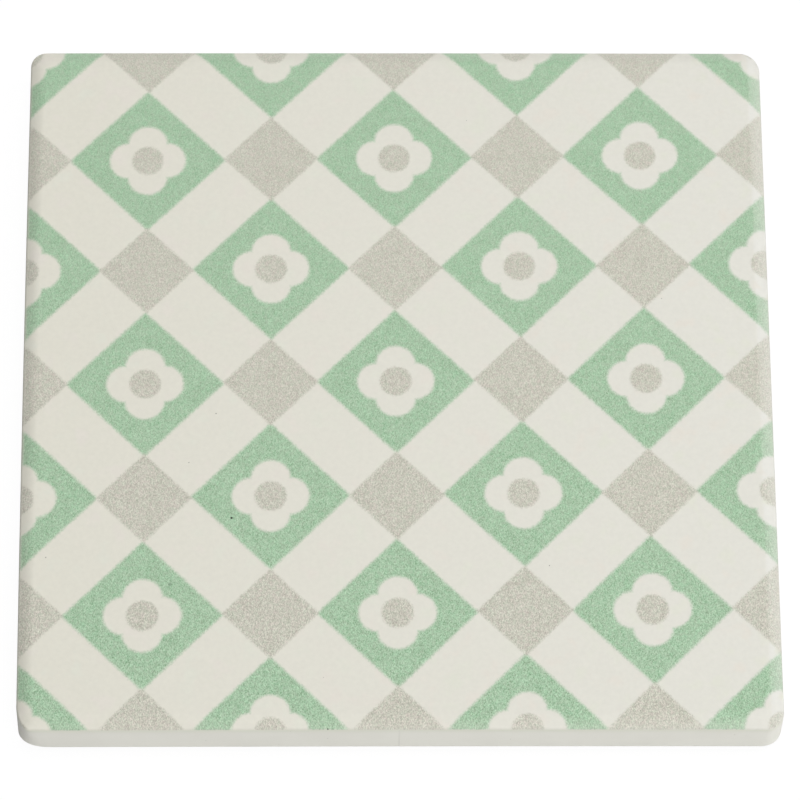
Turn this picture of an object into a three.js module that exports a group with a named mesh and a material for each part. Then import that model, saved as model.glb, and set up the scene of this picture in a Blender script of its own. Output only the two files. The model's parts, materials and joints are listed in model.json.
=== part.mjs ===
// A square ceramic coaster: a pressed tile with a printed coat over its face, on a glued cork pad.
// Millimetres, +Z up. The origin is at the middle of the cork's underside, and -Y is the front.
import * as THREE from "three";

// Tile, as fired
const tileSide = 100;
const tileThickness = 6.7;
const cornerRadius = 2.7; // in plan
const bottomEdgeRadius = 0.4;

// Bevelled shoulder, from the flat of the face down to a crease at the side wall
const shoulderWidth = 1.9;
const shoulderTilt = 28; // degrees
const shoulderRadius = 1.7; // where the bevel blends into the flat
const leastSlope = 0.05; // stays straight above the crease

// Printed coat over the tile's face and shoulder
const coatThickness = 0.2;

// Backing
const corkThickness = 1.5;
const corkInset = 3; // from the tile's side to the cork's edge
const corkCornerRadius = 4;
const corkEdgeRadius = 0.3; // at the rim that meets the table
const adhesiveThickness = 0.2;
const adhesiveInset = 0.5; // from the cork's edge to the glue's edge

// Finishes
const corkFinish = { color: 0xb78a5c, roughness: 0.95, metalness: 0 };
const adhesiveFinish = { color: 0xe6dcc0, roughness: 0.5, metalness: 0 };
const ceramicFinish = { color: 0xe2e0d6, roughness: 0.6, metalness: 0 };
const coatFinish = { color: 0xe0ded3, roughness: 0.55, metalness: 0 };

// Facets
const cornerSteps = 8;
const edgeSteps = 8;
const smallEdgeSteps = 3;
const sharpestCorner = 0.01; // plan radius kept where an inset takes up the whole corner

const quarterTurn = Math.PI / 2;

// Heights, stacked up from the table
const adhesiveBottom = corkThickness;
const tileBottom = adhesiveBottom + adhesiveThickness;
const tileTop = tileBottom + tileThickness;

// The corners of a square, counter-clockwise from the back right
const cornerSigns = [
  [1, 1],
  [-1, 1],
  [-1, -1],
  [1, -1],
];

// The outline of a rounded square at one height, counter-clockwise.
function roundedSquare(side, radius, height) {
  const bend = Math.max(radius, sharpestCorner);
  const reach = side / 2 - bend;
  return cornerSigns.flatMap(([signX, signY], index) => {
    const start = index * quarterTurn;
    const end = start + quarterTurn;
    const arc = new THREE.EllipseCurve(signX * reach, signY * reach, bend, bend, start, end);
    return arc.getPoints(cornerSteps).map(({ x, y }) => new THREE.Vector3(x, y, height));
  });
}

// Points [inset, height] on a quarter round, from one turn angle to another. The round's centre lies
// at centreInset in from the side, and an angle of 0 faces out.
function quarterRound(centreInset, centreHeight, radius, fromAngle, toAngle, steps) {
  return Array.from({ length: steps + 1 }, (_, step) => {
    const angle = fromAngle + ((toAngle - fromAngle) * step) / steps;
    return [centreInset - radius * Math.cos(angle), centreHeight + radius * Math.sin(angle)];
  });
}

// A closed slab whose rim follows a section of [inset, height] points, from its underside to its top.
function slab(side, radius, section) {
  const rings = section.map(([inset, height]) =>
    roundedSquare(side - 2 * inset, radius - inset, height),
  );
  const count = rings[0].length;
  const positions = rings.flat().flatMap((point) => point.toArray());
  const indices = [];
  for (let ring = 0; ring + 1 < rings.length; ring += 1) {
    for (let k = 0; k < count; k += 1) {
      const low = ring * count + k;
      const lowNext = ring * count + ((k + 1) % count);
      indices.push(low, lowNext, low + count);
      indices.push(lowNext, lowNext + count, low + count);
    }
  }
  const last = (rings.length - 1) * count;
  const outline = rings[0].map((point) => new THREE.Vector2(point.x, point.y));
  THREE.ShapeUtils.triangulateShape(outline, []).forEach(([a, b, c]) => {
    indices.push(c, b, a);
    indices.push(last + a, last + b, last + c);
  });
  const geometry = new THREE.BufferGeometry();
  geometry.setAttribute("position", new THREE.Float32BufferAttribute(positions, 3));
  geometry.setIndex(indices);
  geometry.computeVertexNormals();
  return geometry;
}

function piece(name, geometry, finish) {
  const mesh = new THREE.Mesh(geometry, new THREE.MeshStandardMaterial(finish));
  mesh.name = name;
  return mesh;
}

// Points [inset, height] up the shoulder, from the crease to the edge of the flat at topHeight.
function shoulder(topHeight) {
  const tilt = THREE.MathUtils.degToRad(shoulderTilt);
  const radius = Math.min(shoulderRadius, (shoulderWidth - leastSlope) / Math.sin(tilt));
  const blend = quarterRound(
    shoulderWidth,
    topHeight - radius,
    radius,
    quarterTurn - tilt,
    quarterTurn,
    edgeSteps,
  );
  const [slopeInset, slopeHeight] = blend[0];
  const crease = [0, slopeHeight - slopeInset * Math.tan(tilt)];
  return [crease, ...blend];
}

function ceramicTile() {
  const foot = quarterRound(
    bottomEdgeRadius,
    tileBottom + bottomEdgeRadius,
    bottomEdgeRadius,
    -quarterTurn,
    0,
    smallEdgeSteps,
  );
  return slab(tileSide, cornerRadius, [...foot, ...shoulder(tileTop)]);
}

// The coat's underside is the tile's own shoulder, and its edge is flush with the side wall.
function printCoat() {
  const inside = shoulder(tileTop).reverse();
  const outside = shoulder(tileTop + coatThickness);
  return slab(tileSide, cornerRadius, [...inside, ...outside]);
}

const corkSide = tileSide - 2 * corkInset;

function corkPad() {
  const rim = quarterRound(
    corkEdgeRadius,
    corkEdgeRadius,
    corkEdgeRadius,
    -quarterTurn,
    0,
    smallEdgeSteps,
  );
  return slab(corkSide, corkCornerRadius, [...rim, [0, corkThickness]]);
}

function adhesiveFilm() {
  return slab(corkSide - 2 * adhesiveInset, corkCornerRadius - adhesiveInset, [
    [0, adhesiveBottom],
    [0, tileBottom],
  ]);
}

const coaster = new THREE.Group();
coaster.name = "coaster";
coaster.add(
  piece("cork_pad", corkPad(), corkFinish),
  piece("adhesive_film", adhesiveFilm(), adhesiveFinish),
  piece("ceramic_tile", ceramicTile(), ceramicFinish),
  piece("print_coat", printCoat(), coatFinish),
);

export default coaster;
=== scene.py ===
# Looks for a square ceramic coaster: tile body, printed coat, glue and cork pad, in metres, +Z up.
import json
import math

import bpy
from mathutils import Matrix, Vector, noise

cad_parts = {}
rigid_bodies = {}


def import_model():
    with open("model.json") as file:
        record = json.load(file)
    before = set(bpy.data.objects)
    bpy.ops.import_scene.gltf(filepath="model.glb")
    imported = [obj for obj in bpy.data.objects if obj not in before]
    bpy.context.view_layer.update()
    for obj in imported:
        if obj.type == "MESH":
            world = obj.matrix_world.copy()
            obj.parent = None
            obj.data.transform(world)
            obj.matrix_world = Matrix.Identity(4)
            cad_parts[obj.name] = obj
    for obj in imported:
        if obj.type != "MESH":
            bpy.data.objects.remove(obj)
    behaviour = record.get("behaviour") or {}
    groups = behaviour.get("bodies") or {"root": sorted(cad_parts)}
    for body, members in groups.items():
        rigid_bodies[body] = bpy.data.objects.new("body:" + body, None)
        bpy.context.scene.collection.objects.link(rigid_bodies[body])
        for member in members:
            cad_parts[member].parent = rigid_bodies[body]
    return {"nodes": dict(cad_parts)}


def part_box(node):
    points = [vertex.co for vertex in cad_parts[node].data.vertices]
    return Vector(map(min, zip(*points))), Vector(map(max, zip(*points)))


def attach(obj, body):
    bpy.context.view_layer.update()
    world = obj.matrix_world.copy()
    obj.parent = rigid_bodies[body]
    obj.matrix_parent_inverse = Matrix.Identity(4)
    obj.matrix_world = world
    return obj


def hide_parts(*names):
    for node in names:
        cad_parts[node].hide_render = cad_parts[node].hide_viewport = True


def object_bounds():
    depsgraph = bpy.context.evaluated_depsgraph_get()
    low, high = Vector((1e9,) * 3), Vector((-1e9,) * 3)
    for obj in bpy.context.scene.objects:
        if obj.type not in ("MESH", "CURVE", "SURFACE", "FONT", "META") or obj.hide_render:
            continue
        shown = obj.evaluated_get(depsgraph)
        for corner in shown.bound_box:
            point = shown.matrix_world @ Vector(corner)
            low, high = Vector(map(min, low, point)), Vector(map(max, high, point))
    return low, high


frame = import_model()
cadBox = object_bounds()
mm = 0.001
quarterTurn = math.pi / 2
print("frame loaded:", sorted(frame["nodes"]))


def facing(azimuth, elevation):
    # unit vector for two angles in degrees: azimuth 0 is the front, and 90 the right
    turn, rise = math.radians(azimuth), math.radians(elevation)
    return Vector((
        math.sin(turn) * math.cos(rise),
        -math.cos(turn) * math.cos(rise),
        math.sin(rise),
    ))


# Camera

photoCamera = {
    "elevation": 64.873,  # degrees above the table
    "swing": -2.185,  # degrees, off the front edge
    "roll": 1.959,  # degrees
    "aim": (0.298, -2.998),  # mm, on the plane of the printed face
    "distance": 753.06,  # mm, from the aim
    "focal": 254.40,  # mm
    "sensor": 36.0,  # mm
    "nearest": 10.0,  # mm, nothing closer is drawn
}


def placeCamera(look):
    back = facing(look["swing"], look["elevation"])
    swing, roll = math.radians(look["swing"]), math.radians(look["roll"])
    level = Vector((math.cos(swing), math.sin(swing), 0))
    steep = back.cross(level)
    right = level * math.cos(roll) + steep * math.sin(roll)
    up = steep * math.cos(roll) - level * math.sin(roll)
    aimX, aimY = look["aim"]
    aim = Vector((aimX * mm, aimY * mm, cadBox[1].z))
    lens = bpy.data.cameras.new("photoCamera")
    lens.sensor_width = look["sensor"]
    lens.lens = look["focal"]
    lens.clip_start = look["nearest"] * mm
    camera = bpy.data.objects.new("photoCamera", lens)
    turn = Matrix((right, up, back)).transposed().to_4x4()
    camera.matrix_world = Matrix.Translation(aim + back * look["distance"] * mm) @ turn
    bpy.context.scene.collection.objects.link(camera)
    bpy.context.scene.camera = camera


placeCamera(photoCamera)
print("camera placed")


# Node helpers

midNoise = 0.5  # middle of a noise's values
noiseSpan = (0.3, 0.7)  # where most of them lie


class NodeBench:
    # adds nodes to one tree and hands back the output that is used
    def __init__(self, tree):
        self.tree = tree

    def add(self, kind, *values, **settings):
        node = self.tree.nodes.new(kind)
        for key, value in settings.items():
            setattr(node, key, value)
        for socket, value in zip(node.inputs, values):
            self.feed(socket, value)
        return node

    def feed(self, socket, value):
        if isinstance(value, bpy.types.NodeSocket):
            self.tree.links.new(value, socket)
        else:
            socket.default_value = value

    def maths(self, operation, *values, clamp=False):
        return self.add("ShaderNodeMath", *values, operation=operation, use_clamp=clamp).outputs[0]

    def vector(self, operation, *values):
        node = self.add("ShaderNodeVectorMath", *values, operation=operation)
        return node.outputs["Value" if operation in ("DOT_PRODUCT", "LENGTH") else "Vector"]

    def scaled(self, place, factor):
        out = self.vector("SCALE", place)
        self.feed(out.node.inputs["Scale"], factor)
        return out

    def axes(self, place):
        return self.add("ShaderNodeSeparateXYZ", place).outputs

    def joined(self, x, y):
        return self.add("ShaderNodeCombineXYZ", x, y).outputs[0]

    def ramp(self, value, low, high, start=0.0, end=1.0, smooth=True):
        kind = "SMOOTHSTEP" if smooth else "LINEAR"
        node = self.add("ShaderNodeMapRange", value, low, high, start, end, interpolation_type=kind)
        return node.outputs[0]

    def blend(self, share, first, second):
        node = self.add("ShaderNodeMix", data_type="RGBA")
        for name, value in (("Factor_Float", share), ("A_Color", first), ("B_Color", second)):
            socket = next(s for s in node.inputs if s.identifier == name)
            self.feed(socket, value)
        return next(s for s in node.outputs if s.identifier == "Result_Color")

    def noise(self, place, length, detail=0.0, roughness=0.5):
        node = self.add("ShaderNodeTexNoise")
        values = (("Vector", place), ("Scale", 1 / length), ("Detail", detail), ("Roughness", roughness))
        for name, value in values:
            self.feed(node.inputs[name], value)
        return node.outputs["Fac"]

    def sway(self, place, length):
        # noise about zero
        return self.maths("SUBTRACT", self.noise(place, length, detail=1.0), midNoise)

    def cells(self, place, scale, feature="F1"):
        node = self.add("ShaderNodeTexVoronoi", feature=feature)
        self.feed(node.inputs["Vector"], place)
        self.feed(node.inputs["Scale"], scale)
        return node.outputs


def newMaterial(name):
    # the material, its bench, its shader, and the place on the piece in mm
    material = bpy.data.materials.new(name)
    material.use_nodes = True
    bench = NodeBench(material.node_tree)
    shader = material.node_tree.nodes["Principled BSDF"]
    place = bench.scaled(bench.add("ShaderNodeTexCoord").outputs["Object"], 1 / mm)
    return material, bench, shader, place


def finishMaterial(bench, shader, look, colour, rough, rise):
    # roughness comes from one texture and relief, whose height is in mm, from another
    bench.feed(shader.inputs["Base Color"], colour)
    bench.feed(shader.inputs["Roughness"], bench.ramp(rough, *noiseSpan, *look["roughness"]))
    bump = bench.add("ShaderNodeBump")
    bump.inputs["Strength"].default_value = 1.0
    bump.inputs["Distance"].default_value = look["relief"] * mm
    bench.feed(bump.inputs["Height"], rise)
    bench.feed(shader.inputs["Normal"], bump.outputs["Normal"])
    shader.inputs["Specular IOR Level"].default_value = look["specular"]


# Mesh helpers

cornerSigns = ((1, 1), (-1, 1), (-1, -1), (1, -1))  # counter-clockwise from the back right
frontLeft, frontRight = 2, 3  # in cornerSigns; a side has the place of the corner before it
trueRound = 2.0  # bluntness of a corner that is an arc; below that it nears a straight cut
leastReach = 1.6  # mm, of a corner on an inner ring
innerReach = 0.15  # as a share of the ring's inset
mostReach = 0.8  # as a share of the ring's own half side


def evenShares(steps):
    return [(step + 1) / steps for step in range(steps - 1)]


def slowNoise(x, y, level, length):
    # from -1 to 1; the level picks one noise out of many
    return noise.noise(Vector((x, y, level)) / length)


def roundPoints(centreInset, centreHeight, radius, start, end, steps):
    # points (inset, height) on a round: at angle 0 it faces out, at a quarter turn up
    angles = [start + (end - start) * step / steps for step in range(steps + 1)]
    return [
        (centreInset - radius * math.cos(angle), centreHeight + radius * math.sin(angle))
        for angle in angles
    ]


def ringOf(halfSide, corners, inset, cornerSteps, sideShares):
    # one ring, counter-clockwise; a corner is its reach along x, its reach along y and its bluntness
    half = halfSide - inset
    arcs = []
    for index, (signX, signY) in enumerate(cornerSigns):
        *reaches, bluntness = corners[index]
        reachX, reachY = (
            min(max(reach - inset, leastReach, innerReach * inset), mostReach * half) for reach in reaches
        )
        arc = []
        for step in range(cornerSteps + 1):
            angle = (index + step / cornerSteps) * quarterTurn
            bentX, bentY = (
                math.copysign(abs(value) ** (2 / bluntness), value)
                for value in (math.cos(angle), math.sin(angle))
            )
            x = signX * (half - reachX) + reachX * bentX
            y = signY * (half - reachY) + reachY * bentY
            arc.append((x, y))
        arcs.append(arc)
    ring = []
    for index, arc in enumerate(arcs):
        ring += arc
        first, last = Vector(arc[-1]), Vector(arcs[(index + 1) % len(arcs)][0])
        ring += [tuple(first.lerp(last, share)) for share in sideShares[index]]
    return ring


def skinOver(rings):
    # closed mesh over rings of 3-D points, from the middle of the underside to the middle of the top
    count = len(rings[0])
    points = [point for ring in rings for point in ring]
    faces = []
    for row in range(len(rings) - 1):
        for k in range(count):
            low, lowNext = row * count + k, row * count + (k + 1) % count
            faces.append((low, lowNext, lowNext + count, low + count))
    for row, order in ((0, -1), (len(rings) - 1, 1)):
        middle = sum((Vector(point) for point in rings[row]), Vector()) / count
        points.append(tuple(middle))
        for k in range(count):
            edge = (row * count + k, row * count + (k + 1) % count)
            faces.append((len(points) - 1, *edge[::order]))
    return points, faces


def newPiece(name, points, faces, material, unit=mm):
    mesh = bpy.data.meshes.new(name)
    mesh.from_pydata([tuple(unit * value for value in point) for point in points], [], faces)
    mesh.materials.append(material)
    mesh.shade_smooth()
    piece = bpy.data.objects.new(name, mesh)
    bpy.context.scene.collection.objects.link(piece)
    return piece


def dress(piece, node):
    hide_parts(node)
    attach(piece, "root")


def heightsOf(node):
    low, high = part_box(node)
    return low.z / mm, high.z / mm


def halfSideOf(node):
    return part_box(node)[1].x / mm


# Tile body: bare fired clay, with a bevelled shoulder that the coat covers; sizes in mm

tile = {
    "halfSide": halfSideOf("ceramic_tile"),
    "creaseCorners": (  # reach along x and y, and bluntness, from the back right
        (2.85, 2.85, 2.0), (2.15, 2.15, 2.0), (1.8, 3.5, 1.85), (2.2, 2.4, 1.8),
    ),
    "footCorners": (  # the same at the foot
        (2.85, 2.85, 2.0), (2.15, 2.15, 2.0), (4.6, 2.7, 2.42), (2.8, 2.4, 2.05),
    ),
    "footRadius": 0.4,
    "footSteps": 6,
    "shoulderWidth": 2.1,
    "shoulderTilt": math.radians(27.5),  # at the crease
    "shoulderSteps": 14,
    "creaseRound": 0.5,  # rounding of the crease
    "creaseSteps": 6,
    "wander": 0.02,  # how far the sides stray inwards
    "wanderLength": 14.0,
    "wanderLevel": 0.0,
    "pulls": {  # how far each side falls in at its middle and at its ends
        "left": (0.0, 0.12),
        "right": (0.0, 0.0),
        "back": (0.0, 0.05),
        "front": (0.06, 0.0),
    },
    "seamX": -0.11,  # faint press mark down the front wall
    "seamPoints": (-0.3, -0.12, 0.0, 0.12, 0.3),  # from its middle
    "seamHold": 0.03,  # points this near its middle are pressed in
    "seamDepth": 0.03,
    "seamFade": 0.5,  # share of its depth that it loses towards the top
    "cornerSteps": 10,
    "sideSteps": 48,
    "wallShares": (0.1, 0.35, 0.65, 0.9),  # rings up the wall
    "flatInsets": (48, 30, 12, 4, 3),  # rings over the underside and, the other way, over the top
    "layerGap": 0.01,  # hair of room between the tile and its coat
}


def shoulderPoints(top):
    # points up the shoulder from the crease to the edge of the flat; the slope follows a quarter wave
    width, steps = tile["shoulderWidth"], tile["shoulderSteps"]
    points = [(width, top)]
    for step in range(steps):
        turn = quarterTurn * (step + 0.5) / steps  # at the middle of the step
        fall = math.tan(tile["shoulderTilt"] * math.sin(turn)) * width / steps
        points.append((width * (1 - (step + 1) / steps), points[-1][1] - fall))
    return points[::-1]


def creaseArc(low, high):
    # the rounded crease from one height to another: the bare wall has its lower part, the coat the rest
    crease = shoulderPoints(heightsOf("print_coat")[1] - coat["waviness"])[0][1]
    tilt, bend = tile["shoulderTilt"], tile["creaseRound"]
    centre = crease + bend * (math.tan(tilt) - 1 / math.cos(tilt))
    start, end = (
        math.asin(min(max((height - centre) / bend, 0), math.cos(tilt))) for height in (low, high)
    )
    return roundPoints(bend, centre, bend, start, end, tile["creaseSteps"])


def cornersAt(height):
    # the tile's corners change a little from the foot to the crease
    low, high = heightsOf("ceramic_tile")
    share = min(max((height - low) / (shoulderPoints(high)[0][1] - low), 0), 1)
    return [
        tuple(below + (above - below) * share for below, above in zip(foot, crease))
        for foot, crease in zip(tile["footCorners"], tile["creaseCorners"])
    ]


def sideShares(corners, marked):
    # places of the points along each side; on the front one, a few lie on the press mark
    even = evenShares(tile["sideSteps"])
    shares = [even] * len(cornerSigns)
    if marked:
        start = corners[frontLeft][0] - tile["halfSide"]
        end = tile["halfSide"] - corners[frontRight][0]
        middle = len(even) // 2
        marks = [(tile["seamX"] + step - start) / (end - start) for step in tile["seamPoints"]]
        shares[frontLeft] = even[:middle] + marks + even[middle + 1:]
    return shares


def strayed(x, y):
    # a fired tile's sides aren't quite straight: each one bows, and a slow noise pulls it in
    half = tile["halfSide"]

    def pulled(side, along):
        middle, end = tile["pulls"][side]
        return middle + (end - middle) * along ** 2

    stray = tile["wander"] * (1 + slowNoise(x, y, tile["wanderLevel"], tile["wanderLength"])) / 2
    pullX = stray + pulled("right" if x > 0 else "left", y / half)
    pullY = stray + pulled("back" if y > 0 else "front", x / half)
    return x * (1 - pullX / half), y * (1 - pullY / half)


def stackRings(profile, marked):
    # a ring for each (inset, height) of the profile, pressed in at the mark where there is one
    low, high = profile[0][1], max(height for _, height in profile)
    rings = []
    for inset, height in profile:
        corners = cornersAt(height)
        shares = sideShares(corners, marked)
        onWall = marked and inset < tile["footRadius"]
        pressed = tile["seamDepth"] * (1 - tile["seamFade"] * (height - low) / (high - low))
        ring = []
        for x, y in ringOf(tile["halfSide"], corners, inset, tile["cornerSteps"], shares):
            x, y = strayed(x, y)
            if onWall and y < 0 and abs(x - tile["seamX"]) < tile["seamHold"]:
                y += pressed
            ring.append((x, y, height))
        rings.append(ring)
    return rings


def makeTile(material):
    bottom, top = heightsOf("ceramic_tile")
    top -= tile["layerGap"]
    foot, shoulder = tile["footRadius"], shoulderPoints(top)
    arc = creaseArc(bottom, shoulder[0][1])
    wallLow, wallHigh = bottom + foot, arc[0][1]
    profile = [(inset, bottom) for inset in tile["flatInsets"]]
    profile += roundPoints(foot, wallLow, foot, -quarterTurn, 0, tile["footSteps"])
    profile += [(0, wallLow + (wallHigh - wallLow) * share) for share in tile["wallShares"]]
    profile += arc
    profile += [(inset, height) for inset, height in shoulder if inset > arc[-1][0]]
    profile += [(inset, top) for inset in tile["flatInsets"][::-1]]
    points, faces = skinOver(stackRings(profile, marked=True))
    piece = newPiece("tileBody", points, faces, material)
    dress(piece, "ceramic_tile")
    return piece


bareClay = {
    "colour": (0.838, 0.829, 0.760, 1),
    "shaded": (0.818, 0.808, 0.739, 1),
    "mottle": 6.0,  # patches of the shaded tint
    "mottleSpan": (0.35, 0.7),  # noise at which that tint starts and is whole
    "coatMistAndRimShade": (0.722, 0.735, 0.618, 1),  # mist of the coat on the wall below the crease, darkened as painted shade under the coat's rim
    "coatMistAndRimShadeReach": 1.6,
    "pressMarkShadeColour": (0.55, 0.54, 0.49, 1),  # painted shade in the press mark
    "pressMarkShadeReach": (0.19, 0.05),  # where it ends and where it is whole, from the mark's middle
    "pressMarkShadeShare": (0.30, 0.12),  # at the foot and at the crease
    "grain": 0.25,
    "pits": 1.6,  # from one place for a pit to the next
    "pitRadius": 0.10,
    "pitEdge": (1.3, 0.5),  # where a pit ends and where it is whole, against its radius
    "pitColour": (0.50, 0.48, 0.42, 1),
    "pitShare": 0.27,  # share of the places that have a pit
    "pitTint": 0.6,
    "pitDepth": 3.0,  # against the grain's
    "roughness": (0.62, 0.78),
    "relief": 0.015,
    "specular": 0.3,
}


def clayMaterial(look, foot, crease):
    material, bench, shader, place = newMaterial("bareClay")
    maths = bench.maths
    x, y, z = bench.axes(place)
    mottle = bench.noise(place, look["mottle"], detail=3.0)
    colour = bench.blend(bench.ramp(mottle, *look["mottleSpan"]), look["colour"], look["shaded"])
    # mist of the coat below the crease, darker than the coat: painted shade under its rim
    mistAndRimShade = bench.ramp(z, crease - look["coatMistAndRimShadeReach"], crease, smooth=False)
    colour = bench.blend(maths("MULTIPLY", mistAndRimShade, mistAndRimShade), colour, look["coatMistAndRimShade"])

    # painted shade in the press mark
    offMark = maths("ABSOLUTE", maths("SUBTRACT", x, tile["seamX"]))
    pressMarkShade = bench.ramp(z, foot, crease, *look["pressMarkShadeShare"], smooth=False)
    pressMarkShade = maths("MULTIPLY", pressMarkShade, bench.ramp(offMark, *look["pressMarkShadeReach"]))
    pressMarkShade = maths("MULTIPLY", pressMarkShade, maths("LESS_THAN", y, 0.0))  # on the front wall only
    colour = bench.blend(pressMarkShade, colour, look["pressMarkShadeColour"])

    # pits, and the grain between them
    spots = bench.cells(place, 1 / look["pits"])
    chosen = maths("LESS_THAN", bench.axes(spots["Color"])[0], look["pitShare"])
    edge = [share * look["pitRadius"] / look["pits"] for share in look["pitEdge"]]
    pit = maths("MULTIPLY", bench.ramp(spots["Distance"], *edge), chosen)
    colour = bench.blend(maths("MULTIPLY", pit, look["pitTint"]), colour, look["pitColour"])
    grain = bench.noise(place, look["grain"], detail=2.0)
    rise = maths("SUBTRACT", grain, maths("MULTIPLY", pit, look["pitDepth"]))
    finishMaterial(bench, shader, look, colour, grain, rise)
    return material


# Printed coat: thin shell over the face and shoulder, with the print in its material; sizes in mm

coat = {
    "rimRound": 0.05,  # lower edge of the coat
    "rimSteps": 3,
    "waviness": 0.012,  # height of the face's slow swell
    "swell": 22.0,  # from one rise to the next
    "swellLevel": 40.0,
    "settle": 6.0,  # in from the shoulder to where the swell is whole
    "underInsets": (48, 20),  # rings under the coat
    "faceInsets": (2.7, 3.4, 5, 8, 12, 17, 22, 27, 32, 37, 42, 46),  # and over its face
    "mapMargin": 0.01,  # bake map: the face has most of it
    "mapFace": 0.86,
    "mapHidden": -0.5,  # faces whose normals point further down than this are the underside
}


def makeCoat(material):
    under = shoulderPoints(heightsOf("ceramic_tile")[1] + tile["layerGap"])
    over = shoulderPoints(heightsOf("print_coat")[1] - coat["waviness"])
    rim = coat["rimRound"]
    rimTop = under[0][1] + rim
    arc = creaseArc(rimTop, over[-1][1])
    rimInset = arc[0][0] + rim
    profile = [(inset, under[-1][1]) for inset in coat["underInsets"]]
    profile += [(inset, height) for inset, height in under[::-1] if inset > rimInset]
    profile += roundPoints(rimInset, rimTop, rim, -quarterTurn, 0, coat["rimSteps"])
    profile += arc[1:]
    profile += [(inset, height) for inset, height in over if inset > arc[-1][0]]
    firstFace = len(profile)
    profile += [(inset, over[-1][1]) for inset in coat["faceInsets"]]
    rings = stackRings(profile, marked=False)
    for row in range(firstFace, len(rings)):
        rings[row] = [swollen(point, profile[row][0]) for point in rings[row]]
    points, faces = skinOver(rings)
    piece = newPiece("printedCoat", points, faces, material)
    mapCoat(piece, over[0][1])
    dress(piece, "print_coat")
    return piece


def swollen(point, inset):
    # the pressed face swells and dips a little, away from the shoulder
    x, y, z = point
    share = min(1.0, (inset - tile["shoulderWidth"]) / coat["settle"])
    rise = slowNoise(x, y, coat["swellLevel"], coat["swell"]) * coat["waviness"]
    return x, y, z + rise * share


def mapCoat(piece, crease):
    # bake map seen from above: the printed side is large, with its rim folded out, and the hidden
    # underside is small beside it
    mesh = piece.data
    chart = mesh.uv_layers.new(name="OFBake")
    side, margin, faceSize = 2 * tile["halfSide"], coat["mapMargin"], coat["mapFace"]
    smallSize = 1 - faceSize - 3 * margin
    for polygon in mesh.polygons:
        hidden = polygon.normal.z < coat["mapHidden"]
        size, corner = (smallSize, 2 * margin + faceSize) if hidden else (faceSize, margin)
        for loop in polygon.loop_indices:
            spot = mesh.vertices[mesh.loops[loop].vertex_index].co / mm
            folded = 1 if hidden else 1 + max(0, crease - spot.z) / tile["halfSide"]
            chart.data[loop].uv = (
                corner + size * (0.5 + spot.x * folded / side),
                margin + size * (0.5 + spot.y * folded / side),
            )


printLook = {
    "middle": (-0.240, -0.215),  # middle of one flower
    "between": (0.045, 0.190),  # how far the flowers between the rows are off their places
    "greyMiddle": (-0.214, -0.121),  # where the flower's middle would be for the grey diamonds
    "row": (33.431, 0.699),  # to the next flower along a row, and the row's slope in degrees
    "column": (33.515, 90.032),  # the same up a column
    "greenHalf": (10.52, 10.60),  # half diagonal of a green diamond, by its two pairs of sides
    "greyHalf": (6.35, 6.40),  # the same for a grey one
    "petalReach": 2.49,  # from the flower's middle to a petal's
    "petalRadius": 2.67,
    "dotRadius": 2.12,
    "greenSoftness": 0.34,  # half width of an ink edge
    "greySoftness": 0.27,
    "ragged": 0.36,  # how far the edges stray
    "raggedLength": 0.3,
    "green": (0.3675, 0.528, 0.362, 1),
    "grey": (0.564, 0.553, 0.472, 1),
    "whiteLeft": (0.742, 0.723, 0.632, 1),  # the white is a little warmer on the left
    "whiteRight": (0.743, 0.732, 0.667, 1),
    "whiteShoulderSheen": (0.754, 0.747, 0.696, 1),  # and lighter and coolest over the right shoulder: painted sheen
    "tintLength": 3.2,
    "tints": (  # slow tints in the white, and the noise at which each starts and is whole
        ((0.752, 0.720, 0.647, 1), (0.55, 0.75)),  # blush
        ((0.736, 0.735, 0.645, 1), (0.45, 0.25)),  # mint
    ),
    "grain": 0.10,  # ink grain
    "grainStretch": 1.9,  # its length along a column
    "grainDepth": (0.76, 0.375),  # how far it scales an ink's colour, at the front and at the back
    "grainLevel": 0.53,  # grey that it adds as well
    "mottle": 1.6,  # slower unevenness of the inks
    "mottleDepth": 0.06,
    "hue": 0.4,  # blots where the inks are a little warmer or greener
    "hueTilt": (0.075, -0.045, 0.02),
    "cloud": 0.6,  # faint unevenness of the whole coat
    "cloudDepth": 0.07,
    "thinning": 0.17,  # share of ink lost at the crease
    "thinningLean": 0.09,  # how much more of it at the right, and less at the left
    "thinningInsets": (1.8, 0.2),
    "rightThinningAndSheen": 0.14,  # more is lost all over the right shoulder; this also paints the sheen there
    # where the painted sheen on the right shoulder starts and is whole, in from the right side
    "rightSheenInsets": (1.95, 1.5),
    "leftThinning": 0.5,  # and along the left crease
    "leftInsets": (0.55, 0.1),
    "inkStop": (-0.26, 0.05),  # above the crease: where the ink is gone, and where it starts to go
    "specks": (  # x, y, radius and strength of dark kiln specks
        (-22.04, -20.15, 0.175, 1.0), (-46.41, -25.82, 0.10, 0.5), (-9.39, -49.84, 0.10, 0.8),
        (19.78, -27.03, 0.075, 0.8), (-27.73, -12.13, 0.08, 0.6), (-24.18, -4.97, 0.10, 0.55),
        (-30.07, -29.70, 0.25, 0.35), (-9.95, -42.89, 0.055, 0.5), (35.57, 12.06, 0.10, 0.35),
        (9.67, 39.10, 0.07, 0.4),
    ),
    "speckEdge": (1.2, 0.6),  # where a speck ends and where it is whole, against its radius
    "speckColour": (0.025, 0.03, 0.022, 1),
    "fine": 0.3,  # the glaze's own unevenness
    "roughness": (0.5, 0.62),
    "relief": 0.004,
    "specular": 0.25,
}
slant = math.sqrt(0.5)  # part of a length along x or y that counts on a diagonal


def latticeOf(look):
    # width of one cell along a diagonal of the repeat, and how many cells a mm along x and y counts for
    # on each of the two diagonals
    row, column = (
        Vector((length * math.cos(math.radians(slope)), length * math.sin(math.radians(slope))))
        for length, slope in (look["row"], look["column"])
    )
    across = Matrix((row, column)).transposed().inverted()
    cell = (look["row"][0] + look["column"][0]) / 2 * slant
    return cell, [across[0] + sign * across[1] for sign in (1, -1)]


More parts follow.
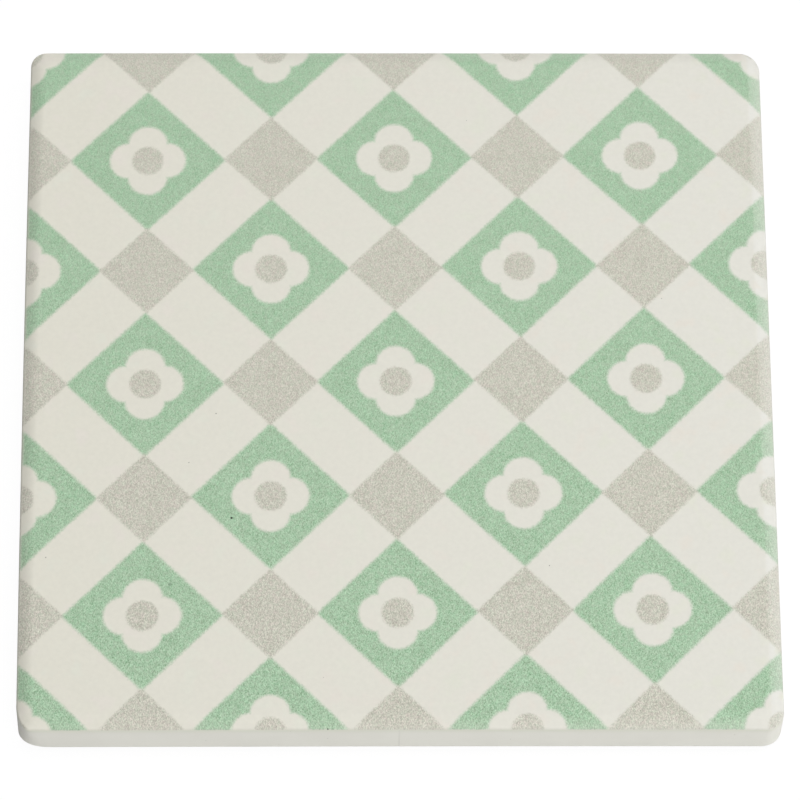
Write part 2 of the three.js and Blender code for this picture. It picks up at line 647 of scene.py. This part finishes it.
def inkEdges(bench, look, place):
    # distance to the edge of the green, the petals, the grey diamonds and the dots, negative inside
    maths = bench.maths
    cell, steps = latticeOf(look)

    def countedFrom(middle):
        shifted = bench.vector("SUBTRACT", place, (*middle, 0))
        return [bench.vector("DOT_PRODUCT", shifted, (*step, 0)) for step in steps]

    def wrapped(count):
        # into one cell, with its middle at 0
        return maths("WRAP", count, 0.5, -0.5)

    # flowers and the green round them
    counts = countedFrom(look["middle"])
    order = maths("ADD", *[maths("ROUND", count) for count in counts])
    betweenRows = maths("FLOORED_MODULO", order, 2.0)  # 1 there, and 0 on the rows
    fromFlower = []
    for count, step in zip(counts, steps):
        offset = -step.dot(Vector(look["between"]))
        share = maths("MULTIPLY_ADD", betweenRows, offset, wrapped(count))
        fromFlower.append(maths("MULTIPLY", maths("ABSOLUTE", share), cell))
    green = maths("MAXIMUM", *[
        maths("SUBTRACT", away, half * slant) for away, half in zip(fromFlower, look["greenHalf"])
    ])
    far, near = maths("MAXIMUM", *fromFlower), maths("MINIMUM", *fromFlower)
    along = maths("MULTIPLY", maths("ADD", far, near), slant)
    aside = maths("MULTIPLY", maths("SUBTRACT", far, near), slant)
    toPetal = bench.joined(maths("SUBTRACT", along, look["petalReach"]), aside)
    petal = maths("SUBTRACT", bench.vector("LENGTH", toPetal), look["petalRadius"])
    dot = maths("SUBTRACT", bench.vector("LENGTH", bench.joined(*fromFlower)), look["dotRadius"])

    # grey diamonds, at the corners of their own cells
    greySides = []
    for count, half in zip(countedFrom(look["greyMiddle"]), look["greyHalf"]):
        away = maths("MULTIPLY", maths("ABSOLUTE", wrapped(count)), cell)
        greySides.append(maths("SUBTRACT", cell / 2 - half * slant, away))
    return green, petal, maths("MAXIMUM", *greySides), dot


def inkKept(bench, look, place, thinningAndSheenOnRight, stray, crease):
    # the ink thins out over the shoulder and stops at the crease; over the right shoulder the extra loss
    # also paints sheen
    maths = bench.maths
    x, y, z = bench.axes(place)
    half = tile["halfSide"]
    edge = maths("SUBTRACT", half, maths("MAXIMUM", maths("ABSOLUTE", x), maths("ABSOLUTE", y)))
    lean = maths("MULTIPLY_ADD", x, look["thinningLean"] / half, look["thinning"])
    thin = maths("MULTIPLY", bench.ramp(edge, *look["thinningInsets"], smooth=False), lean)
    # thinner ink over the right shoulder, which also paints the sheen there
    thin = maths("MULTIPLY_ADD", thinningAndSheenOnRight, look["rightThinningAndSheen"], thin)
    onLeft = bench.ramp(maths("ADD", half, x), *look["leftInsets"])
    thin = maths("MULTIPLY_ADD", onLeft, look["leftThinning"], thin)
    gone, going = (crease + rise for rise in look["inkStop"])
    above = bench.ramp(maths("ADD", z, stray), gone, going)
    return maths("MULTIPLY", maths("SUBTRACT", 1.0, thin), above)


def printedInks(bench, look, place, thinningAndSheenOnRight, crease):
    # shares of green and of grey ink, with ragged edges
    maths = bench.maths
    stray = maths("MULTIPLY", bench.sway(place, look["raggedLength"]), look["ragged"])

    def inked(distance, softness):
        return bench.ramp(maths("ADD", distance, stray), softness, -softness)

    green, petal, grey, dot = inkEdges(bench, look, place)
    greenSoft, greySoft = look["greenSoftness"], look["greySoftness"]
    offPetal = maths("SUBTRACT", 1.0, inked(petal, greenSoft))
    greenInk = maths("MULTIPLY", inked(green, greenSoft), offPetal)
    greyInk = maths("MAXIMUM", inked(grey, greySoft), inked(dot, greySoft))
    kept = inkKept(bench, look, place, thinningAndSheenOnRight, stray, crease)
    return [maths("MULTIPLY", ink, kept) for ink in (greenInk, greyInk)]


def whiteCoat(bench, look, place, thinningAndSheenOnRight):
    half = tile["halfSide"]
    toRight = bench.ramp(bench.axes(place)[0], -half, half, smooth=False)
    colour = bench.blend(toRight, look["whiteLeft"], look["whiteRight"])
    # painted sheen: the white is lighter and cooler over the right shoulder
    colour = bench.blend(thinningAndSheenOnRight, colour, look["whiteShoulderSheen"])
    tint = bench.noise(place, look["tintLength"], detail=2.0)
    for tinted, span in look["tints"]:
        colour = bench.blend(bench.ramp(tint, *span), colour, tinted)
    return colour


def grained(bench, look, place, inks, colour):
    # grain, mottle and blots in the inks, and faint clouds over the whole coat
    maths = bench.maths
    half = tile["halfSide"]
    level = (0, 0, look["grain"] / 2)  # a slice between the noise's grid points
    stretched = bench.vector("MULTIPLY_ADD", place, (1, 1 / look["grainStretch"], 0), level)
    depth = bench.ramp(bench.axes(place)[1], -half, half, *look["grainDepth"], smooth=False)
    grain = maths("MULTIPLY", bench.sway(stretched, look["grain"]), depth)
    grain = maths("MULTIPLY_ADD", bench.sway(place, look["mottle"]), look["mottleDepth"], grain)
    grain = maths("MULTIPLY", grain, inks)
    cloud = maths("MULTIPLY_ADD", bench.sway(place, look["cloud"]), look["cloudDepth"], 1.0)
    lift = maths("MULTIPLY", grain, look["grainLevel"])
    colour = bench.vector("MULTIPLY_ADD", colour, maths("ADD", grain, cloud), lift)
    hue = maths("MULTIPLY", bench.sway(place, look["hue"]), inks)
    return bench.vector("ADD", colour, bench.scaled(look["hueTilt"], hue))


def specked(bench, look, place, colour):
    plan = bench.vector("MULTIPLY", place, (1, 1, 0))
    for x, y, radius, strength in look["specks"]:
        away = bench.vector("LENGTH", bench.vector("SUBTRACT", plan, (x, y, 0)))
        edge = [share * radius for share in look["speckEdge"]]
        colour = bench.blend(bench.ramp(away, *edge, 0.0, strength), colour, look["speckColour"])
    return colour


def printMaterial(look, crease):
    material, bench, shader, place = newMaterial("printedGlaze")
    # mask of the right shoulder, for its thinner ink and its painted sheen
    fromRight = bench.maths("SUBTRACT", tile["halfSide"], bench.axes(place)[0])
    thinningAndSheenOnRight = bench.ramp(fromRight, *look["rightSheenInsets"])
    greenInk, greyInk = printedInks(bench, look, place, thinningAndSheenOnRight, crease)
    colour = whiteCoat(bench, look, place, thinningAndSheenOnRight)
    colour = bench.blend(greenInk, colour, look["green"])
    colour = bench.blend(greyInk, colour, look["grey"])
    inks = bench.maths("ADD", greenInk, greyInk, clamp=True)
    colour = grained(bench, look, place, inks, colour)
    colour = specked(bench, look, place, colour)
    fine = bench.noise(place, look["fine"], detail=2.0)
    finishMaterial(bench, shader, look, colour, fine, fine)
    return material


creaseHeight = shoulderPoints(heightsOf("print_coat")[1])[0][1]
tileBody = makeTile(clayMaterial(bareClay, heightsOf("ceramic_tile")[0], creaseHeight))
print("tile body:", len(tileBody.data.polygons), "faces")
printedCoat = makeCoat(printMaterial(printLook, creaseHeight))
print("printed coat:", len(printedCoat.data.polygons), "faces")


# Glue: thin film squeezed out to a wavy edge; sizes in mm

glue = {
    "corner": 3.5,
    "cornerSteps": 8,
    "sideSteps": 64,
    "stray": 0.7,  # how far the edge falls short
    "strayLength": 5.0,
    "strayLevel": 7.0,
    "hollow": 0.08,  # the squeezed edge is hollow between tile and cork
    "hollowSteps": 6,
    "flatInsets": (44, 20, 4, 1),
    "gap": 0.004,
    "colour": (0.79, 0.70, 0.48, 1),
    "clear": (0.86, 0.80, 0.64, 1),
    "cloud": 2.5,  # clearer patches
    "cloudSpan": (0.35, 0.65),  # noise at which they start and are whole
    "roughness": (0.3, 0.5),
    "ripple": 0.7,
    "relief": 0.03,
    "specular": 0.5,
}


def glueMaterial(look):
    material, bench, shader, place = newMaterial("driedGlue")
    cloud = bench.noise(place, look["cloud"], detail=3.0)
    colour = bench.blend(bench.ramp(cloud, *look["cloudSpan"]), look["colour"], look["clear"])
    ripple = bench.noise(place, look["ripple"], detail=2.0)
    finishMaterial(bench, shader, look, colour, cloud, ripple)
    return material


def makeGlue(look, material):
    low, high = heightsOf("adhesive_film")
    low, high = low + look["gap"], high - look["gap"]
    half = halfSideOf("adhesive_film")
    shares = [evenShares(look["sideSteps"])] * len(cornerSigns)
    corners = [(look["corner"], look["corner"], trueRound)] * len(cornerSigns)
    profile = [(inset, low) for inset in look["flatInsets"]]
    for step in range(look["hollowSteps"] + 1):
        share = step / look["hollowSteps"]
        profile.append((look["hollow"] * math.sin(math.pi * share), low + (high - low) * share))
    profile += [(inset, high) for inset in look["flatInsets"][::-1]]
    rings = []
    for inset, height in profile:
        ring = []
        for x, y in ringOf(half, corners, inset, look["cornerSteps"], shares):
            short = look["stray"] * (1 + slowNoise(x, y, look["strayLevel"], look["strayLength"])) / 2
            share = 1 - short / half
            ring.append((x * share, y * share, height))
        rings.append(ring)
    points, faces = skinOver(rings)
    piece = newPiece("glueFilm", points, faces, material)
    dress(piece, "adhesive_film")
    return piece


glueFilm = makeGlue(glue, glueMaterial(glue))
print("glue film:", len(glueFilm.data.polygons), "faces")


# Cork: die-cut sheet of pressed granules, whose relief comes from Geometry Nodes; sizes in mm

cork = {
    "corner": 4.0,
    "rim": 0.3,  # round of the edge that meets the table
    "rimSteps": 3,
    "cells": 270,  # mesh cells along a side
    "wallRows": 5,
    "seed": 11.0,  # picks the granules
    "granule": 2.4,  # large granules
    "crumb": 1.1,  # small ones that some of the large ones break into
    "crumbShare": 0.6,
    "warp": 0.75,  # how far their outlines stray from straight cuts
    "warpLength": 0.8,
    "crevice": 0.06,  # depth of the seams between granules
    "creviceWidth": 0.2,
    "unevenness": 0.035,  # how far whole granules sit back
    "pitShare": 0.05,  # share of granules that are torn out
    "pitDepth": 0.22,
    "pitSlope": (0.03, 0.2),  # from the seam: where a torn pit starts, and where it is deep
    "covered": 0.5,  # faces whose normals point further up than this are under the tile, and stay flat
    "pale": (0.62, 0.41, 0.225, 1),
    "mid": (0.47, 0.27, 0.125, 1),
    "ruddy": (0.37, 0.18, 0.075, 1),
    "ruddyShare": (0.70, 1.0),  # chance at which a granule starts to be ruddy, and wholly is
    "dark": (0.16, 0.08, 0.035, 1),
    "darkShare": (0.86, 0.985),  # the same for dark
    "fibre": 0.22,  # dark flecks
    "fibreDark": (0.53, 0.74),  # noise at which they start and are whole
    "fibreTint": 0.8,
    "seamTint": (0.1, 0.75),  # the seams show more in some patches than in others
    "seamPatch": 2.6,
    "seamPatchSpan": (0.35, 0.65),  # noise at which a patch starts and is whole
    "seamWidth": 0.13,
    "roughness": (0.8, 0.97),
    "relief": 0.05,
    "specular": 0.2,
    "gap": 0.004,
}


def granulesAt(bench, place, sizes):
    # distance in mm to the nearest seam and three chances of the granule, for relief and colours alike
    shift = bench.add("ShaderNodeCombineXYZ", *[sizes["seed"]] * 3).outputs[0]
    place = bench.vector("ADD", place, shift)
    bend = bench.add("ShaderNodeTexNoise")
    bench.feed(bend.inputs["Vector"], place)
    bench.feed(bend.inputs["Scale"], bench.maths("DIVIDE", 1.0, sizes["warpLength"]))
    bend = bench.vector("SUBTRACT", bend.outputs["Color"], (midNoise,) * 3)
    place = bench.vector("ADD", place, bench.scaled(bend, sizes["warp"]))
    seams, chances = [], []
    for size in (sizes["granule"], sizes["crumb"]):
        scale = bench.maths("DIVIDE", 1.0, size)
        away = bench.cells(place, scale, feature="DISTANCE_TO_EDGE")["Distance"]
        seams.append(bench.maths("MULTIPLY", away, size))
        chances.append(bench.cells(place, scale)["Color"])
    whole = bench.maths("GREATER_THAN", bench.axes(chances[0])[0], sizes["crumbShare"])
    seamOfCrumb = bench.maths("MULTIPLY_ADD", whole, sizes["granule"], seams[1])
    seam = bench.maths("MINIMUM", seams[0], seamOfCrumb)
    return seam, bench.axes(bench.blend(whole, chances[1], chances[0]))


def corkMaterial(look):
    material, bench, shader, place = newMaterial("pressedCork")
    seam, chance = granulesAt(bench, place, look)
    fibre = bench.noise(place, look["fibre"], detail=4.0, roughness=0.65)
    colour = bench.blend(chance[0], look["mid"], look["pale"])
    colour = bench.blend(bench.ramp(chance[2], *look["ruddyShare"]), colour, look["ruddy"])
    colour = bench.blend(bench.ramp(chance[1], *look["darkShare"]), colour, look["dark"])
    flecks = bench.ramp(fibre, *look["fibreDark"], 0.0, look["fibreTint"])
    colour = bench.blend(flecks, colour, look["dark"])
    patch = bench.noise(place, look["seamPatch"])
    patch = bench.ramp(patch, *look["seamPatchSpan"], *look["seamTint"])
    gap = bench.maths("MULTIPLY", bench.ramp(seam, look["seamWidth"], 0.0), patch)
    colour = bench.blend(gap, colour, look["dark"])
    finishMaterial(bench, shader, look, colour, fibre, fibre)
    return material


def foldedRound(a, b, reach):
    # bends a square's corners round
    overA, overB = max(abs(a) - reach, 0), max(abs(b) - reach, 0)
    length = math.hypot(overA, overB)
    share = max(overA, overB) / length if length else 1
    x = math.copysign(min(abs(a), reach) + overA * share, a)
    y = math.copysign(min(abs(b), reach) + overB * share, b)
    return x, y


def pushedOut(x, y, reach, step):
    # moves a point of the border straight out
    nearX, nearY = (min(max(value, -reach), reach) for value in (x, y))
    length = math.hypot(x - nearX, y - nearY)
    return x + (x - nearX) / length * step, y + (y - nearY) / length * step


def gridBorder(count):
    # places of the points along the border of a square grid, counter-clockwise
    wide = count + 1
    last = wide * wide - 1
    border = list(range(count))
    border += [count + j * wide for j in range(count)]
    border += [last - i for i in range(count)]
    border += [last - count - j * wide for j in range(count)]
    return border


def corkSlab(look):
    # rounded-square slab: a fine grid underneath, a round rim, a wall of a few rows, one face on top
    low, high = heightsOf("cork_pad")
    high -= look["gap"]
    half, rim, count, rows = halfSideOf("cork_pad"), look["rim"], look["cells"], look["wallRows"]
    reach, flat = half - look["corner"], half - rim
    steps = [flat * (2 * k / count - 1) for k in range(count + 1)]
    points = [(*foldedRound(a, b, reach), low) for b in steps for a in steps]
    faces = []
    wide = count + 1
    for j in range(count):
        for i in range(count):
            k = j * wide + i
            faces.append((k, k + wide, k + wide + 1, k + 1))

    turns = [quarterTurn * (step + 1) / look["rimSteps"] for step in range(look["rimSteps"])]
    outer = [(rim * math.sin(turn), low + rim * (1 - math.cos(turn))) for turn in turns]
    wallLow = low + rim
    outer += [(rim, wallLow + (high - wallLow) * (row + 1) / rows) for row in range(rows)]
    border = gridBorder(count)
    below = border
    for step, height in outer:
        start = len(points)
        points += [(*pushedOut(*points[k][:2], reach, step), height) for k in border]
        above = list(range(start, len(points)))
        for k in range(len(border)):
            after = (k + 1) % len(border)
            faces.append((below[k], below[after], above[after], above[k]))
        below = above
    faces.append(tuple(below))
    return points, faces


def granuleTree(material):
    tree = bpy.data.node_groups.new("corkGranules", "GeometryNodeTree")
    tree.interface.new_socket("Sheet", in_out="INPUT", socket_type="NodeSocketGeometry")
    names = (
        "seed", "granule", "crumb", "crumbShare", "warp", "warpLength",
        "crevice", "creviceWidth", "unevenness", "pitShare", "pitDepth",
    )
    sockets = {}
    for name in names:
        socket = tree.interface.new_socket(name, in_out="INPUT", socket_type="NodeSocketFloat")
        sockets[name] = socket.identifier
    tree.interface.new_socket("Cork", in_out="OUTPUT", socket_type="NodeSocketGeometry")
    bench = NodeBench(tree)
    maths = bench.maths
    given = bench.add("NodeGroupInput").outputs
    place = bench.scaled(bench.add("GeometryNodeInputPosition").outputs[0], 1 / mm)
    seam, chance = granulesAt(bench, place, given)
    normal = bench.add("GeometryNodeInputNormal").outputs[0]
    sunk = maths("MULTIPLY", bench.ramp(seam, given["creviceWidth"], 0.0), given["crevice"])
    back = maths("MULTIPLY", chance[2], given["unevenness"])
    torn = maths("LESS_THAN", chance[1], given["pitShare"])
    torn = maths("MULTIPLY", torn, bench.ramp(seam, *cork["pitSlope"]))
    torn = maths("MULTIPLY", torn, given["pitDepth"])
    depth = maths("ADD", maths("ADD", sunk, back), torn)
    uncovered = maths("LESS_THAN", bench.axes(normal)[2], cork["covered"])
    offset = bench.scaled(normal, maths("MULTIPLY", maths("MULTIPLY", depth, -mm), uncovered))
    moved = bench.add("GeometryNodeSetPosition")
    bench.feed(moved.inputs["Geometry"], given["Sheet"])
    bench.feed(moved.inputs["Offset"], offset)
    whole = bench.add("GeometryNodeRealizeInstances", moved.outputs[0])
    painted = bench.add("GeometryNodeSetMaterial")
    bench.feed(painted.inputs["Geometry"], whole.outputs[0])
    painted.inputs["Material"].default_value = material
    bench.add("NodeGroupOutput", painted.outputs[0])
    return tree, sockets


def makeCork(look, material):
    points, faces = corkSlab(look)
    piece = newPiece("corkSheet", points, faces, material)
    tree, sockets = granuleTree(material)
    modifier = piece.modifiers.new("granules", "NODES")
    modifier.node_group = tree
    for name, identifier in sockets.items():
        modifier[identifier] = look[name]
    bpy.context.view_layer.update()
    graph = bpy.context.evaluated_depsgraph_get()
    mesh = bpy.data.meshes.new_from_object(piece.evaluated_get(graph))
    piece.modifiers.remove(modifier)
    piece.data = mesh
    dress(piece, "cork_pad")
    return piece


corkSheet = makeCork(cork, corkMaterial(cork))
print("cork sheet:", len(corkSheet.data.polygons), "faces")


# Studio: white floor, white surroundings and four soft panels

studio = {
    "panels": {  # azimuth and elevation in degrees, distance, width and height in m, radiance
        "rightPanel": (90, 50, 0.75, 0.375, 0.62, 2.32),
        "frontPanel": (25, 20, 1.2, 1.2, 0.6, 3.57),
        "backPanel": (180, 25, 1.2, 1.2, 0.6, 2.12),
        "topPanel": (0, 89, 1.2, 0.6, 1.4, 3.28),
    },
    "white": (1, 1, 1, 1),
    "floorReach": 4.0,
    "floorDrop": 0.00002,  # hair below the cork
    "floorShade": 0.6,  # what the floor gives back to the coaster
    "floorGlow": 0.95,  # what the camera sees of it in the deepest shadow
    "floorShadow": 0.07,  # share of the light that it adds to that
}


def makePanel(name, azimuth, elevation, distance, width, height, radiance):
    away = facing(azimuth, elevation)
    light = bpy.data.lights.new(name, "AREA")
    light.shape = "RECTANGLE"
    light.size, light.size_y = width, height
    light.energy = math.pi * radiance * width * height
    panel = bpy.data.objects.new(name, light)
    panel.location = away * distance
    panel.rotation_mode = "QUATERNION"
    panel.rotation_quaternion = (-away).to_track_quat("-Z", "Y")
    panel.visible_camera = False
    bpy.context.scene.collection.objects.link(panel)


def seenDirectly(bench):
    # camera, mirror and see-through rays
    rays = bench.add("ShaderNodeLightPath").outputs
    seen = bench.maths("ADD", rays["Is Camera Ray"], rays["Is Glossy Ray"])
    return bench.maths("ADD", seen, rays["Is Transmission Ray"], clamp=True)


def makeWorld(look):
    world = bpy.data.worlds.new("whiteRoom")
    bpy.context.scene.world = world
    world.use_nodes = True
    bench = NodeBench(world.node_tree)
    shown = world.node_tree.nodes["Background"]
    shown.inputs["Color"].default_value = look["white"]
    bench.feed(shown.inputs["Strength"], seenDirectly(bench))


def makeFloor(look):
    material = bpy.data.materials.new("whiteFloor")
    material.use_nodes = True
    nodes = material.node_tree.nodes
    nodes.remove(nodes["Principled BSDF"])
    bench = NodeBench(material.node_tree)
    shade, shadow = ((look[key],) * 3 + (1,) for key in ("floorShade", "floorShadow"))
    bounce = bench.add("ShaderNodeBsdfDiffuse", shade).outputs[0]
    faint = bench.add("ShaderNodeBsdfDiffuse", shadow).outputs[0]
    glow = bench.add("ShaderNodeEmission", look["white"], look["floorGlow"]).outputs[0]
    seen = bench.add("ShaderNodeAddShader", faint, glow).outputs[0]
    mixed = bench.add("ShaderNodeMixShader", seenDirectly(bench), bounce, seen).outputs[0]
    bench.feed(nodes["Material Output"].inputs["Surface"], mixed)
    reach = look["floorReach"]
    level = cadBox[0].z - look["floorDrop"]
    corners = [(signX * reach, signY * reach, level) for signX, signY in cornerSigns]
    floor = newPiece("floor", corners, [(0, 1, 2, 3)], material, unit=1)


for panelName, settings in studio["panels"].items():
    makePanel(panelName, *settings)
makeWorld(studio)
makeFloor(studio)
bpy.context.scene.view_settings.view_transform = "Standard"
print("studio set")
